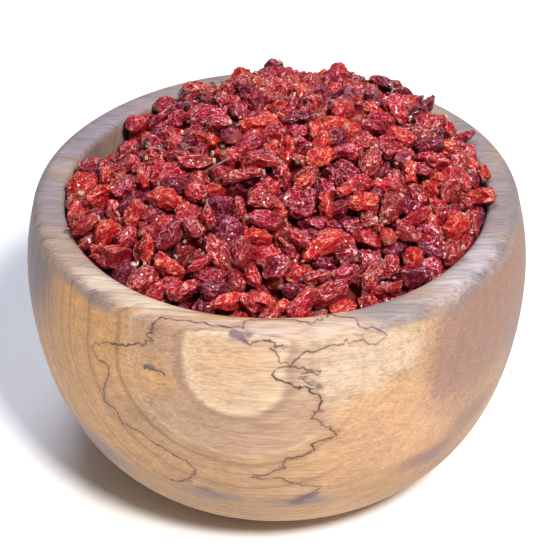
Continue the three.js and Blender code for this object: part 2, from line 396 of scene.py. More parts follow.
def coarse_face(near, i, j, columns):
    """One coarse face, with the extra points of each side that it shares with fine faces."""
    rows, turns = near.shape
    a, b = i * SPLIT, j * SPLIT
    beside = (i > 0 and near[i - 1, j], near[i, (j + 1) % turns],
              i + 1 < rows and near[i + 1, j], near[i, (j - 1) % turns])
    corner = [(0, 0), (0, SPLIT), (SPLIT, SPLIT), (SPLIT, 0)]
    ring = []
    for side, is_fine in enumerate(beside):
        start, end = corner[side], corner[(side + 1) % 4]
        steps = SPLIT if is_fine else 1
        for k in range(steps):
            u = start[0] + (end[0] - start[0]) * k // steps
            v = start[1] + (end[1] - start[1]) * k // steps
            ring.append((a + u) * columns + (b + v) % columns)
    return ring


# Stains, with a painted reflection on the rim and partly painted shade inside, each a list of soft patches:
# azimuth, run, half width and half height in millimetres, and strength.
STAINS_AND_PAINTED_LIGHT = {
    "cream": [(14, 15, 13, 7, 0.9), (4, 6, 12, 4, 0.5), (26, 12, 8, 8, 0.5), (-8, 22, 9, 8, 0.35)],
    "orange": [(27, 30, 13, 11, 0.9), (17, 44, 14, 9, 0.7), (36, 42, 12, 8, 0.6), (-9, 13, 9, 6, 0.45),
        (170, 24, 18, 14, 0.7), (205, 46, 20, 10, 0.6), (130, 40, 16, 12, 0.6)],
    "yellow": [(-47, 20, 15, 16, 0.9), (-58, 36, 14, 14, 0.7), (-33, 47, 16, 8, 0.5),
        (-26, 20, 5, 5, 0.5), (-52, 8, 10, 5, 0.5), (245, 30, 18, 18, 0.6), (150, 12, 16, 8, 0.5)],
    "purple": [(49, 21, 12, 15, 1.0), (62, 12, 13, 13, 0.9), (38, 24, 6, 7, 0.55), (72, 30, 10, 18, 0.7),
        (37, 51, 11, 3, 0.9), (52, 45, 9, 4, 0.7), (88, 18, 16, 16, 0.7), (48, 60, 20, 5, 0.5),
        (190, 30, 14, 10, 0.6), (225, 14, 16, 8, 0.7), (118, 26, 14, 20, 0.6), (-15, 62, 16, 4, 0.35)],
    "pale": [(-14, 5.5, 12, 3.2, 0.5), (8, 4.4, 14, 3.4, 0.8), (29, 5, 8, 3.2, 0.5)],
    # These patches are a painted reflection of the sky on the rim.
    "painted_sheen": [(47, 3.6, 6, 2.6, 0.4), (56, 4.2, 8, 3.0, 0.7), (38, 6, 8, 3.0, 0.3), (63, 2, 8, 3, 0.4)],
    "chalk": [(-26, 1.6, 8, 2.2, 0.45), (-38, 2.6, 10, 2.6, 0.85), (-48, 4.2, 7, 2.2, 0.6)],
    "slate": [(-122, 2.4, 12, 3.4, 1.0), (-132, 1.4, 8, 3, 0.7), (-108, 4, 8, 3, 0.4),
        (-90, 3, 5, 4, 0.6), (112, 2, 8, 3.4, 0.6), (92, 3, 8, 3, 0.4), (-148, 2, 8, 3, 0.4)],
    # The inside patch greys and darkens the inner wall: partly the wood's own grey, partly painted shade
    # under the heap.
    "inside": [(0, -22, 900, 20, 1.9)],
    "grey": [(-74, 12, 12, 12, 1.0), (-88, 24, 12, 18, 0.8), (-104, 12, 16, 12, 0.8),
        (-66, 58, 18, 8, 0.6), (-28, 8, 2.5, 3, 0.35), (46, 6, 9, 6, 0.75), (66, 32, 4, 4, 0.5),
        (-50, 56, 14, 5, 0.5), (-16, 56, 9, 2.5, 0.8), (5, 57, 8, 2.5, 0.8), (40, 53, 8, 2.5, 0.6),
        (100, 10, 18, 10, 0.6), (140, 8, 16, 7, 0.7), (178, 6, 20, 6, 0.7), (232, 34, 14, 12, 0.5)],
    "red": [(4.5, 6, 3.4, 0.7, 0.7), (8, 12.6, 3.6, 0.5, 0.7), (6, 4.4, 2.2, 0.5, 0.6),
        (10.5, 13.6, 2, 0.4, 0.6), (9, 26, 3, 0.7, 0.25)],
}
# The pith of the tree: how far in front of the bowl's axis, how high, and at which azimuth.
PITH_OUT, PITH_HEIGHT, PITH_AZIMUTH = 160.0, 74.0, -9.1
INNER_RING = 102.4  # distance from the pith of the pale ring on the front
OUTER_RING = 106.6


def wood_attributes(points, run, azimuth_deg):
    """What the wood's material needs to know at each point of the bowl."""
    pith_x, pith_y = polar(1.0, PITH_AZIMUTH)
    towards = points[:, 0] * pith_x + points[:, 1] * pith_y
    growth = np.hypot(PITH_OUT - towards, points[:, 2] - PITH_HEIGHT)
    growth -= 0.013 * np.clip(points[:, 2] - 60, 0, 10) ** 2  # the rings open out towards the rim
    growth += 0.35 * noise(points, 17, 3) + 0.12 * noise(points, 5, 5)
    wrapped = (azimuth_deg + 180) % 360 - 180
    ragged = 0.8 * noise(points, 9, 21)
    rim = 1 - smooth(7.5, 11.0, run + ragged)
    front = 1 - smooth(20, 38, np.abs(wrapped + 6 + 6 * noise(points, 12, 23)))
    sides = 1 - 0.75 * smooth(6, 20, wrapped) * (1 - smooth(110, 150, wrapped))
    attributes = {"growth": growth, "rim_grey": rim * (1 - 0.8 * front), "ring_show": sides}
    outside = smooth(-2.6, -0.4, run)
    for name, patches in STAINS_AND_PAINTED_LIGHT.items():
        total = np.zeros(len(points))
        for patch_azimuth, patch_run, wide, high, strength in patches:
            aside = (azimuth_deg - patch_azimuth + 180) % 360 - 180
            away = np.hypot(np.radians(aside) * BELLY_RADIUS / wide, (run - patch_run) / high)
            total += strength * np.exp(-(away**2) * 0.8)
        attributes["stain_" + name] = np.clip(total, 0, 1) * (1 - outside if name == "inside" else outside)
    smudge = np.zeros(len(points))
    for smudge_azimuth, smudge_run, radius, strength in SMUDGES:
        centre = on_bowl([smudge_azimuth], [smudge_run])[0]
        away = np.linalg.norm((points - centre) * (0.7, 0.7, 1.3), axis=1)
        away = away + 0.5 * noise(points, 1.1, 31)
        smudge = np.maximum(smudge, strength * (1 - smooth(0.2 * radius, 1.3 * radius, away)))
    attributes["smudge"] = smudge
    return attributes


# ---- materials


class Nodes:
    """Short calls for building one material's node tree."""

    def __init__(self, name):
        self.material = bpy.data.materials.new(name)
        self.material.use_nodes = True
        self.tree = self.material.node_tree
        self.position = self.add("TexCoord").outputs["Object"]

    def add(self, kind, inputs=None, **settings):
        """A new node. Each of its inputs takes a value or another node's output."""
        node = self.tree.nodes.new("ShaderNode" + kind)
        for key, value in settings.items():
            setattr(node, key, value)
        return self.feed(node, inputs or {})

    def feed(self, node, inputs):
        for key, value in inputs.items():
            if isinstance(value, bpy.types.NodeSocket):
                self.tree.links.new(value, node.inputs[key])
            else:
                node.inputs[key].default_value = value
        return node

    def surface(self, inputs):
        """Feeds the shader, and gives the finished material."""
        self.feed(self.tree.nodes["Principled BSDF"], inputs)
        return self.material

    def attribute(self, name, output="Fac"):
        return self.add("Attribute", attribute_name=name).outputs[output]

    def math(self, operation, a, b=0.0, clamp=False):
        return self.add("Math", {0: a, 1: b}, operation=operation, use_clamp=clamp).outputs[0]

    def times(self, a, b, clamp=False):
        return self.math("MULTIPLY", a, b, clamp)

    def plus(self, a, b, clamp=False):
        return self.math("ADD", a, b, clamp)

    def apart(self, a, b):
        return self.math("ABSOLUTE", self.math("SUBTRACT", a, b))

    def vector(self, operation, inputs):
        return self.add("VectorMath", inputs, operation=operation).outputs[0]

    def scaled(self, factors, vector=None):
        return self.vector("MULTIPLY", {0: vector or self.position, 1: factors})

    def noise(self, vector, scale, detail=2.0, roughness=0.5):
        inputs = {"Vector": vector, "Scale": scale, "Detail": detail, "Roughness": roughness}
        return self.add("TexNoise", inputs).outputs["Fac"]

    def ramp(self, value, low, high, at_low=0.0, at_high=1.0):
        inputs = {"Value": value, "From Min": low, "From Max": high, "To Min": at_low, "To Max": at_high}
        return self.add("MapRange", inputs, clamp=True, interpolation_type="SMOOTHSTEP").outputs[0]

    def colours(self, value, stops):
        node = self.add("ValToRGB", {0: value})
        elements = node.color_ramp.elements
        while len(elements) < len(stops):
            elements.new(0.5)
        for element, (place, colour) in zip(elements, stops):
            element.position = place
            element.color = rgb(colour)
        return node.outputs[0]

    def mix(self, factor, a, b, blend="MIX"):
        a, b = (rgb(colour) if isinstance(colour, tuple) else colour for colour in (a, b))
        inputs = {"Factor": factor, "A": a, "B": b}
        return self.add("Mix", inputs, data_type="RGBA", blend_type=blend).outputs["Result"]

    def bump(self, height, distance, strength=1.0):
        inputs = {"Height": height, "Distance": distance, "Strength": strength}
        return self.add("Bump", inputs).outputs[0]


def rgb(colour):
    """A screen colour from 0 to 255 as the linear colour that shaders take."""
    channel = [c / 255 for c in colour]
    linear = [c / 12.92 if c <= 0.04045 else ((c + 0.055) / 1.055) ** 2.4 for c in channel]
    return (*linear, 1.0)


STAIN_AND_SHADE_COLOURS = {  # colour, strength, and how ragged its edge is
    "yellow": ((250, 186, 114), 0.75, 0.5),
    "orange": ((230, 178, 132), 0.8, 0.5),
    "cream": ((234, 206, 178), 0.8, 0.5),
    "purple": ((164, 124, 110), 0.85, 1.3),
    "pale": ((226, 202, 186), 0.7, 0.8),
    # The inside's colour is partly the grey of the wood, partly painted shade.
    "inside": ((110, 98, 102), 0.9, 0.6),
    "grey": ((146, 134, 140), 0.85, 1.1),
    "red": ((196, 104, 84), 0.8, 1.2),
}
LATE_STAINS_AND_SHEEN = {  # these lie over the grey of the rim
    # A painted reflection of the sky, pale over the rim's grey.
    "painted_sheen": ((216, 204, 208), 0.7, 0.7),
    "chalk": ((232, 208, 180), 0.8, 0.7),
    "slate": ((152, 144, 160), 0.75, 0.9),
}


def wood_material():
    """Spalted wood, with stains, growth rings, fibres and dark lines."""
    n = Nodes("spalted_wood")
    growth, ring_show = n.attribute("growth"), n.attribute("ring_show")
    fibres = n.noise(n.scaled((0.06, 1, 1)), 2700, 3, 0.65)
    dashes = n.noise(n.scaled((0.10, 1, 1)), 1500, 2, 0.5)
    long_fibres = n.noise(n.scaled((0.035, 1, 1)), 520, 3, 0.55)
    clouds = n.noise(n.position, 60, 4, 0.6)
    rings = n.noise(n.add("CombineXYZ", {0: growth}).outputs[0], 0.42, 4, 0.7)
    raggedness = n.plus(n.plus(dashes, long_fibres), n.plus(clouds, -1.5))

    def patched(colour, stains):
        for name, (tint, strength, ragged) in stains.items():
            mask = n.attribute("stain_" + name)
            edge = n.times(n.times(raggedness, ragged), n.ramp(mask, 0.0, 0.3))
            colour = n.mix(n.ramp(n.plus(mask, edge), 0.1, 0.85, 0.0, strength), colour, tint)
        return colour

    def ring_line(colour, at, half_width, strength, tint):
        shown = n.times(n.ramp(n.apart(growth, at), 0.0, half_width, strength, 0.0), ring_show)
        return n.mix(shown, colour, tint)

    colour = n.mix(n.ramp(clouds, 0.35, 0.65), (206, 160, 116), (220, 176, 132))
    colour = n.mix(n.ramp(growth, OUTER_RING - 0.8, OUTER_RING + 0.7, 0.8, 0.0), colour, (208, 168, 138))
    colour = n.mix(n.ramp(growth, INNER_RING - 0.05, INNER_RING + 0.08, 0.9, 0.0), colour, (238, 198, 158))
    colour = patched(colour, STAIN_AND_SHADE_COLOURS)
    # Darker streaks along the fibres of the inner wall, within its partly painted shade.
    streak = n.times(n.ramp(long_fibres, 0.42, 0.60, 0.0, 0.6), n.attribute("stain_inside"))
    colour = n.mix(streak, colour, (76, 66, 68))
    # The rim's grey: partly its end grain, partly a painted reflection of the sky.
    grey = n.plus(n.attribute("rim_grey"), n.times(n.plus(long_fibres, -0.5), 1.1))
    grey_tint = n.mix(n.ramp(clouds, 0.40, 0.62), (150, 141, 146), (182, 158, 142))
    colour = n.mix(n.ramp(grey, 0.15, 0.95, 0.0, 0.85), colour, grey_tint)
    colour = patched(colour, LATE_STAINS_AND_SHEEN)

    # Growth rings: many thin darker bands, with a pale one round the inner ring.
    outside = n.times(n.ramp(growth, INNER_RING, OUTER_RING + 1.0, 0.35, 1.25), ring_show)
    colour = n.mix(n.times(n.ramp(rings, 0.49, 0.63, 0.0, 0.5), outside), colour, (150, 108, 84))
    colour = ring_line(colour, INNER_RING, 0.30, 0.7, (246, 216, 180))
    colour = ring_line(colour, INNER_RING + 0.42, 0.34, 0.38, (160, 122, 98))
    colour = ring_line(colour, OUTER_RING, 0.45, 0.35, (240, 208, 172))

    tone = n.times(n.ramp(fibres, 0.32, 0.70, 0.58, 0.87), n.ramp(dashes, 0.30, 0.46, 0.84, 1.0))
    tone = n.times(tone, n.ramp(long_fibres, 0.35, 0.65, 0.91, 1.07))
    shade = n.add("CombineColor", {0: tone, 1: tone, 2: tone}).outputs[0]
    colour = n.mix(1.0, colour, shade, "MULTIPLY")

    distance, dark = n.attribute("line_distance"), n.attribute("line_dark")
    width = n.ramp(n.noise(n.position, 700, 2, 0.6), 0.3, 0.7, 0.17, 0.36)
    line = n.ramp(n.math("DIVIDE", distance, width), 0.35, 1.25, 1.0, 0.0)
    halo = n.times(n.ramp(distance, 0.0, 1.7, 0.42, 0.0), n.ramp(clouds, 0.40, 0.60, 0.25, 1.0))
    colour = n.mix(n.times(halo, dark), colour, (134, 96, 76))
    colour = n.mix(n.times(line, dark, clamp=True), colour, (70, 46, 36))
    colour = n.mix(n.ramp(n.attribute("smudge"), 0.05, 0.7, 0.0, 0.85), colour, (102, 82, 88))
    return n.surface({
        "Base Color": colour,
        "Roughness": n.ramp(fibres, 0.3, 0.7, 0.46, 0.66),
        "Specular IOR Level": 0.45,
        "Normal": n.bump(fibres, 0.00012, 0.5),
    })


# Berry kinds: share of the heap; colours of the skin in its hollows (painted shade), on its swellings and
# along its wrinkles (partly painted highlight); how much the wrinkles show, roughness and coat.
KINDS = {
    name: dict(zip(("share", "deep", "bright", "line", "net", "roughness", "coat"), values))
    for name, *values in (
        ("berries_red", 0.25, (122, 8, 20), (176, 16, 34), (255, 186, 182), 0.8, 0.24, 0.9),
        ("berries_glossy", 0.20, (108, 8, 24), (162, 10, 38), (255, 196, 206), 0.7, 0.18, 1.0),
        ("berries_maroon", 0.15, (78, 6, 24), (118, 10, 36), (244, 156, 176), 0.6, 0.22, 1.0),
        ("berries_rough", 0.21, (116, 8, 22), (156, 26, 34), (255, 192, 178), 0.9, 0.34, 0.7),
        ("berries_orange", 0.18, (146, 8, 18), (186, 32, 30), (255, 188, 160), 0.9, 0.28, 0.8),
    )
}


def berry_material(name, kind):
    """The wrinkled skin of one kind of berry, with its buttons and stalk stubs."""
    n = Nodes(name)
    crease, shade = n.attribute("crease"), n.attribute("shade")
    place = n.attribute("skin_place", "Vector")  # in millimetres, about each berry's own axis
    mottle = n.noise(place, 0.30, 2, 0.5)
    normal = n.add("NewGeometry").outputs["Normal"]
    upward = n.add("SeparateXYZ", {0: normal}).outputs["Z"]  # what faces down is darker and plainer

    # A net of wrinkles, drawn out along the berry and bent.
    wave = n.add("TexNoise", {"Vector": place, "Scale": 0.6}).outputs["Color"]
    wave = n.vector("SCALE", {0: wave, "Scale": 1.4})
    bent = n.vector("ADD", {0: n.scaled((1, 1, 0.5), place), 1: wave})
    away, finer = (n.apart(n.noise(bent, scale, 1), 0.5) for scale in (0.62, 1.3))
    wrinkle = n.ramp(away, 0.0, 0.026, 1.0, 0.0)
    fine_wrinkle = n.ramp(finer, 0.0, 0.033, 0.75, 0.0)

    # Painted light and shade in the skin: darker in creases and in the hollows between the wrinkles, darker
    # where it faces down and lighter where it faces up. The mottle and each berry's shade are its own tone.
    skin = n.plus(n.ramp(crease, 0.0, 0.9, 1.0, 0.05), n.ramp(mottle, 0.3, 0.7, -0.2, 0.25))
    skin = n.plus(n.plus(skin, shade), n.ramp(upward, -0.2, 0.9, -0.3, 0.12))
    skin = n.plus(skin, n.ramp(away, 0.03, 0.15, 0.0, -0.4), clamp=True)
    colour = n.mix(skin, kind["deep"], kind["bright"])
    # The wrinkles' paler lines: partly the skin's own paler ridges, partly a painted highlight, stronger
    # where the skin faces up and fainter in creases, as painted light and shade.
    paler = n.times(n.math("MAXIMUM", wrinkle, fine_wrinkle),
                    n.ramp(crease, 0.1, 0.75, kind["net"], kind["net"] * 0.35))
    paler = n.times(paler, n.ramp(mottle, 0.35, 0.6, 0.5, 1.1), clamp=True)
    paler = n.times(paler, n.ramp(upward, -0.1, 0.8, 0.4, 1.4), clamp=True)
    colour = n.mix(paler, colour, kind["line"])
    colour = n.mix(n.attribute("end_tint"), colour, (168, 84, 62))
    husk = n.plus(n.times(shade, 0.8), mottle, clamp=True)
    husk = n.colours(husk, [(0.15, (96, 64, 58)), (0.5, (158, 116, 104)), (0.9, (214, 174, 158))])
    height = n.plus(wrinkle, n.times(fine_wrinkle, 0.5))
    return n.surface({
        "Base Color": n.mix(n.attribute("tip"), colour, husk),
        "Roughness": n.ramp(crease, 0.1, 0.8, kind["roughness"] - 0.06, kind["roughness"] + 0.25),
        "Coat Weight": n.ramp(crease, 0.2, 0.9, kind["coat"], 0.0),
        "Coat Roughness": 0.10,
        "Specular IOR Level": 0.08,
        "Subsurface Weight": 0.4,
        "Subsurface Radius": (1.0, 0.10, 0.07),
        "Subsurface Scale": 0.0012,
        "Normal": n.bump(height, 0.00012),
        "Coat Normal": n.bump(height, 0.0008),
    })


def plain_material(name, scale, detail, dark, light, roughness, bump=None):
    """A dull surface in soft patches of two colours."""
    n = Nodes(name)
    patches = n.noise(n.position, scale, detail)
    inputs = {"Base Color": n.colours(patches, [(0.3, dark), (0.7, light)]), "Roughness": roughness}
    if bump:
        inputs["Normal"] = n.bump(patches, *bump)
    return n.surface(inputs)


# ---- heap: packing


def heap_level(x, y):
    """Height of the berries' tops over a point of the ground plan."""
    out = np.hypot(x, y) / RIM_INNER_RADIUS
    azimuth = np.arctan2(y, x)
    dome = EDGE_LEVEL + (CROWN_LEVEL - EDGE_LEVEL) * (1 - out**2)
    lean = LEAN * out * np.cos(azimuth - LEAN_TOWARDS)
    from_dip = np.hypot(x - DIP_AT[0], y - DIP_AT[1]) / DIP_RADIUS
    return BOWL_HEIGHT + dome + lean - DIP * np.exp(-(from_dip**2))


def sag(x, y):
    """How far the berries lie under the heap's level, along the wall at the back left."""
    aside = (np.arctan2(y, x) - SAG_MIDDLE + math.pi) % (2 * math.pi) - math.pi
    return SAG * np.exp(-((aside / SAG_REACH) ** 2)) * smooth(34, 45, np.hypot(x, y))


# The berries that are easy to know in the picture: where the middle is, in pixels, the angle at
# which it lies as seen from the front, its length and width in pixels, its kind, and how bright.
KNOWN_BERRIES = [
    (134, 118, 100, 24, 19, "red", 0.15), (92, 168, 80, 20, 17, "glossy", -0.3),
    (83, 186, 60, 28, 20, "orange", -0.1), (103, 196, 20, 34, 20, "orange", -0.1),
    (127, 191, 40, 26, 20, "glossy", 0.1), (80, 225, 22, 38, 21, "rough", 0.3),
    (143, 181, 100, 22, 16, "orange", 0.0), (178, 187, -10, 30, 20, "maroon", 0.0),
    (193, 167, 16, 38, 19, "red", 0.0), (222, 104, 60, 28, 24, "glossy", 0.05),
    (222, 127, 0, 24, 19, "glossy", 0.0), (256, 131, 18, 42, 23, "orange", 0.15),
    (259, 103, 75, 26, 20, "glossy", 0.1), (258, 165, -8, 42, 17, "red", 0.05),
    (243, 182, -4, 44, 18, "rough", -0.1), (199, 198, -10, 26, 19, "red", 0.1),
    (273, 64, 80, 26, 22, "maroon", -0.1), (282, 109, 80, 22, 15, "orange", 0.15),
    (286, 150, 82, 32, 16, "orange", 0.05), (301, 122, 4, 34, 15, "maroon", -0.2),
    (313, 106, -40, 20, 16, "red", 0.1), (336, 82, 78, 38, 24, "red", 0.2),
    (337, 116, 60, 29, 25, "red", 0.25), (384, 92, 0, 32, 20, "maroon", 0.1),
    (395, 116, -48, 34, 22, "red", 0.2), (405, 97, -40, 26, 18, "maroon", 0.0),
    (430, 107, 35, 28, 16, "maroon", -0.25), (445, 113, 45, 18, 15, "orange", 0.2),
    (447, 129, -50, 18, 14, "red", 0.2), (463, 138, 12, 27, 14, "glossy", 0.1),
    (391, 150, 0, 24, 18, "red", -0.1), (365, 165, 70, 34, 26, "rough", 0.0),
    (405, 172, 40, 22, 17, "orange", 0.0), (431, 167, -35, 34, 18, "red", -0.1),
    (445, 192, 70, 32, 25, "rough", 0.15), (471, 201, -5, 34, 23, "orange", -0.05),
    (486, 176, -60, 20, 13, "orange", 0.0), (306, 184, 60, 22, 16, "orange", 0.1),
    (341, 190, 0, 22, 16, "orange", 0.0), (385, 187, 15, 28, 18, "red", 0.2),
    (168, 207, -38, 38, 24, "orange", 0.2), (211, 218, -50, 24, 16, "red", -0.1),
    (265, 207, 10, 30, 20, "rough", 0.1), (266, 228, -8, 38, 20, "glossy", 0.3),
    (172, 236, 40, 36, 26, "glossy", -0.1), (193, 231, -50, 24, 17, "rough", -0.1),
    (141, 214, 50, 30, 22, "orange", -0.25), (118, 257, 10, 42, 28, "rough", 0.2),
    (150, 247, 80, 28, 16, "orange", -0.05), (224, 253, -42, 40, 24, "rough", 0.1),
    (246, 257, 70, 32, 24, "rough", -0.1), (272, 262, 60, 30, 23, "glossy", 0.0),
    (205, 268, 32, 26, 11, "red", 0.1), (215, 284, 0, 27, 23, "maroon", -0.1),
    (187, 289, 30, 34, 24, "red", -0.05), (228, 301, 14, 34, 18, "orange", 0.1),
    (252, 303, -40, 22, 14, "red", 0.1), (299, 300, 28, 36, 22, "red", 0.3),
    (332, 298, 10, 40, 28, "rough", 0.1), (321, 278, 0, 28, 16, "rough", -0.1),
    (324, 253, 38, 44, 21, "orange", 0.25), (299, 243, -5, 28, 18, "red", 0.1),
    (301, 213, 20, 28, 21, "glossy", -0.1), (322, 206, 98, 30, 18, "orange", 0.0),
    (363, 204, 5, 30, 19, "orange", 0.2), (392, 212, 60, 34, 26, "rough", -0.2),
    (412, 216, 52, 32, 18, "red", 0.3), (362, 273, 50, 32, 26, "rough", -0.05),
    (381, 290, 12, 32, 19, "rough", 0.2), (412, 275, 14, 34, 21, "maroon", 0.15),
    (428, 248, 0, 27, 15, "maroon", 0.1), (457, 229, 52, 34, 25, "orange", 0.1),
]
# Two of them stand proud: one leans on the wall at the back left, one hangs over the rim at the
# left. Their middles are this far above the heap's level.
PERCHED = {(134, 118): 3.0, (80, 225): 2.2}
KNOWN_DRIFT = 0.10  # how much the known berries give way to the others
# Dark hollows in the heap: a pixel of the picture, and a radius in millimetres.
HOLLOWS = [(222, 153, 2.4), (475, 190, 2.2), (352, 291, 1.5), (396, 284, 1.5), (293, 226, 1.5)]


def hollow_push(centre, radius):
    """How to move balls (n, 3) sideways out of the dark hollows."""
    push = np.zeros_like(centre)
    for across, down, hollow in HOLLOWS:
        aside = centre - on_heap(across, down, 3.0)
        aside[:, 2] *= 0.5
        away = np.linalg.norm(aside, axis=1)
        cut = np.clip(hollow + radius - away, 0, None)
        push += aside / np.maximum(away, 1e-6)[:, None] * cut[:, None]
    return push


def wood_push(centre, radius):
    """How to move balls (n, 3) so that they keep clear of the bowl's rim and inner wall."""
    out = np.hypot(centre[:, 0], centre[:, 1])
    above = centre[:, 2] - BOWL_HEIGHT
    inside = RIM_INNER_RADIUS - out
    reach = radius + BALL_GAP
    outward = np.column_stack([centre[:, 0], centre[:, 1], np.zeros(len(out))])
    outward /= np.maximum(out, 1e-6)[:, None]
    push = np.zeros_like(centre)
    low = above < 0
    cut = np.where(low, np.clip(reach - inside, 0, None), 0)
    push -= outward * cut[:, None]
    corner = ~low & (inside > 0)
    away = np.hypot(inside, above)
    cut = np.where(corner, np.clip(reach - away, 0, None), 0)
    towards = np.column_stack([-outward[:, 0] * inside, -outward[:, 1] * inside, above])
    push += towards / np.maximum(away, 1e-6)[:, None] * cut[:, None]
    over = ~low & (inside <= 0)
    push[:, 2] += np.where(over, np.clip(reach - above, 0, None), 0)
    push -= outward * np.where(~low, np.clip(out + radius - HEAP_REACH, 0, None), 0)[:, None]
    return push


def first_berries(rng):
    """Sizes of the berries, and how they lie before the packing."""
    count = BERRY_COUNT
    length = np.clip(rng.normal(7.4, 0.9, count), 5.6, 9.6)
    width = length * rng.uniform(0.64, 0.86, count)
    thickness = width * rng.uniform(0.76, 0.95, count)
    # For the packing, a berry is three balls: one at its middle, and a smaller one at each end.
    middle = (width + thickness) / 4 * 0.95
    end = middle * 0.74
    reach = length / 2 - end
    out = START_REACH * np.sqrt(rng.uniform(0, 1, count))
    turn = rng.uniform(0, 2 * math.pi, count)
    centre = np.column_stack([out * np.cos(turn), out * np.sin(turn), np.zeros(count)])
    centre[:, 2] = heap_level(centre[:, 0], centre[:, 1]) - rng.uniform(2.0, SLAB - 2, count)
    along = unit(rng.normal(size=(count, 3)) * (1, 1, 0.62))
    ceiling = rng.uniform(-1.3, 1.0, count)  # how far over the heap's level a berry may stand
    free = np.ones(count)
    for i, (across, down, angle, long, wide, _, _) in enumerate(KNOWN_BERRIES):
        length[i] = min(long / PIXELS_A_MM * 1.04, 10.4)
        width[i] = min(wide / PIXELS_A_MM * 1.08, 6.8)
        thickness[i] = 0.86 * width[i]
        middle[i] = (width[i] + thickness[i]) / 4 * 0.92
        end[i] = middle[i] * 0.7
        reach[i] = max(length[i] / 2 - end[i], 0.3)
        centre[i] = on_heap(across, down, -PERCHED.get((across, down), -0.8 * middle[i]))
        angle = math.radians(angle)
        along[i] = (math.cos(angle), 0.8 * math.sin(angle), 0.6 * math.sin(angle))
        ceiling[i] = 2.5 + PERCHED.get((across, down), 0.0)
        free[i] = KNOWN_DRIFT
    radius = np.stack([end, middle, end], axis=1)
    berries = dict(length=length, width=width, thickness=thickness, centre=centre, along=along)
    return berries, radius, reach, ceiling, free


def pack_berries(rng):
    """Shakes the berries together under the heap's surface until they hardly overlap."""
    berries, radius, reach, ceiling, free = first_berries(rng)
    centre, along = berries["centre"], berries["along"]
    count = len(centre)
    side = np.array([-1.0, 0.0, 1.0])
    for step in range(SHAKES):
        if step % PAIR_STEPS == 0:
            gap = np.linalg.norm(centre[:, None] - centre[None], axis=2)
            first, second = np.where(np.triu(gap < PAIR_GAP, 1))
        balls = centre[:, None] + along[:, None] * (reach[:, None] * side)[:, :, None]
        between = balls[first][:, :, None] - balls[second][:, None]
        distance = np.linalg.norm(between, axis=3)
        overlap = np.clip(radius[first][:, :, None] + radius[second][:, None] - distance, 0, None)
        push = between / np.maximum(distance, 1e-6)[..., None] * (0.5 * overlap)[..., None]
        move = np.zeros((count, 3, 3))
        np.add.at(move, first, push.sum(axis=2))
        np.add.at(move, second, -push.sum(axis=1))
        move *= BERRY_SHARE
        flat_balls, flat_radius = balls.reshape(-1, 3), radius.reshape(-1)
        move += hollow_push(flat_balls, flat_radius).reshape(count, 3, 3) * HOLLOW_SHARE
        move *= free[:, None, None]
        move += wood_push(flat_balls, flat_radius).reshape(count, 3, 3) * WOOD_SHARE
        level = heap_level(flat_balls[:, 0], flat_balls[:, 1]).reshape(count, 3)
        level -= sag(flat_balls[:, 0], flat_balls[:, 1]).reshape(count, 3)
        top = balls[:, :, 2] + radius - level - ceiling[:, None]
        move[:, :, 2] -= np.clip(top, 0, None) * LEVEL_SHARE
        floor = level - SLAB - balls[:, :, 2] + radius
        move[:, :, 2] += np.clip(floor, 0, None) * LEVEL_SHARE
        if step < SHAKES * SETTLING[1]:
            move[:, :, 2] -= SETTLING[0] * free[:, None]
        centre = centre + move.sum(axis=1) / 3
        lever = (move[:, 2] - move[:, 0]) / (2 * np.maximum(reach, 0.5))[:, None]
        along = unit(along + lever - along * np.sum(lever * along, axis=1)[:, None])
    return {**berries, "centre": centre, "along": along}


def seen_levels(berries):
    """How fine each berry's mesh has to be: by how much of it shows from any side."""
    count = len(berries["length"])
    share = np.linspace(-1, 1, 5)
    radius = (berries["width"] + berries["thickness"])[:, None] / 4 * (1 - 0.25 * np.abs(share))
    reach = (berries["length"] / 2)[:, None] * 0.72
    balls = berries["centre"][:, None] + berries["along"][:, None] * (reach * share)[:, :, None]
    owner = np.repeat(np.arange(count), len(share))
    balls, radius = balls.reshape(-1, 3), radius.reshape(-1)
    # Views: turn, height, and the weight of what shows there. The first is the picture's.
    views = [(0, 36, 1.8), (0, 89, 1)] + [(turn, 33, 1) for turn in range(45, 360, 45)]
    steps = np.arange(-7, 8) * PIXEL
    over, up = (grid.ravel() for grid in np.meshgrid(steps, steps))
    most = np.zeros(count)
    for turn, height, weight in views:
        turn, height = math.radians(turn), math.radians(height)
        level = math.cos(height)
        right = np.array([math.cos(turn), math.sin(turn), 0])
        to_eye = np.array([math.sin(turn) * level, -math.cos(turn) * level, math.sin(height)])
        high = np.cross(to_eye, right)
        u, v = (np.round((balls @ way)[:, None] / PIXEL + step / PIXEL).astype(int) + SIGHT // 2
                for way, step in ((right, over), (high, up)))
        inside = radius[:, None] ** 2 - over**2 - up**2
        near = (balls @ to_eye)[:, None] + np.sqrt(np.clip(inside, 0, None))
        hit = inside > 0
        cell, near, who = (u * SIGHT + v)[hit], near[hit], np.broadcast_to(owner[:, None], u.shape)[hit]
        order = np.argsort(near)
        front = np.full(SIGHT * SIGHT, -1)
        front[cell[order]] = who[order]
        most = np.maximum(most, weight * np.bincount(front[front >= 0], minlength=count) * PIXEL**2)
    return np.select([most > NEAR_AREA, most > PART_AREA, most > 0], ["near", "part", "deep"], "hidden")


# ---- heap: berry meshes


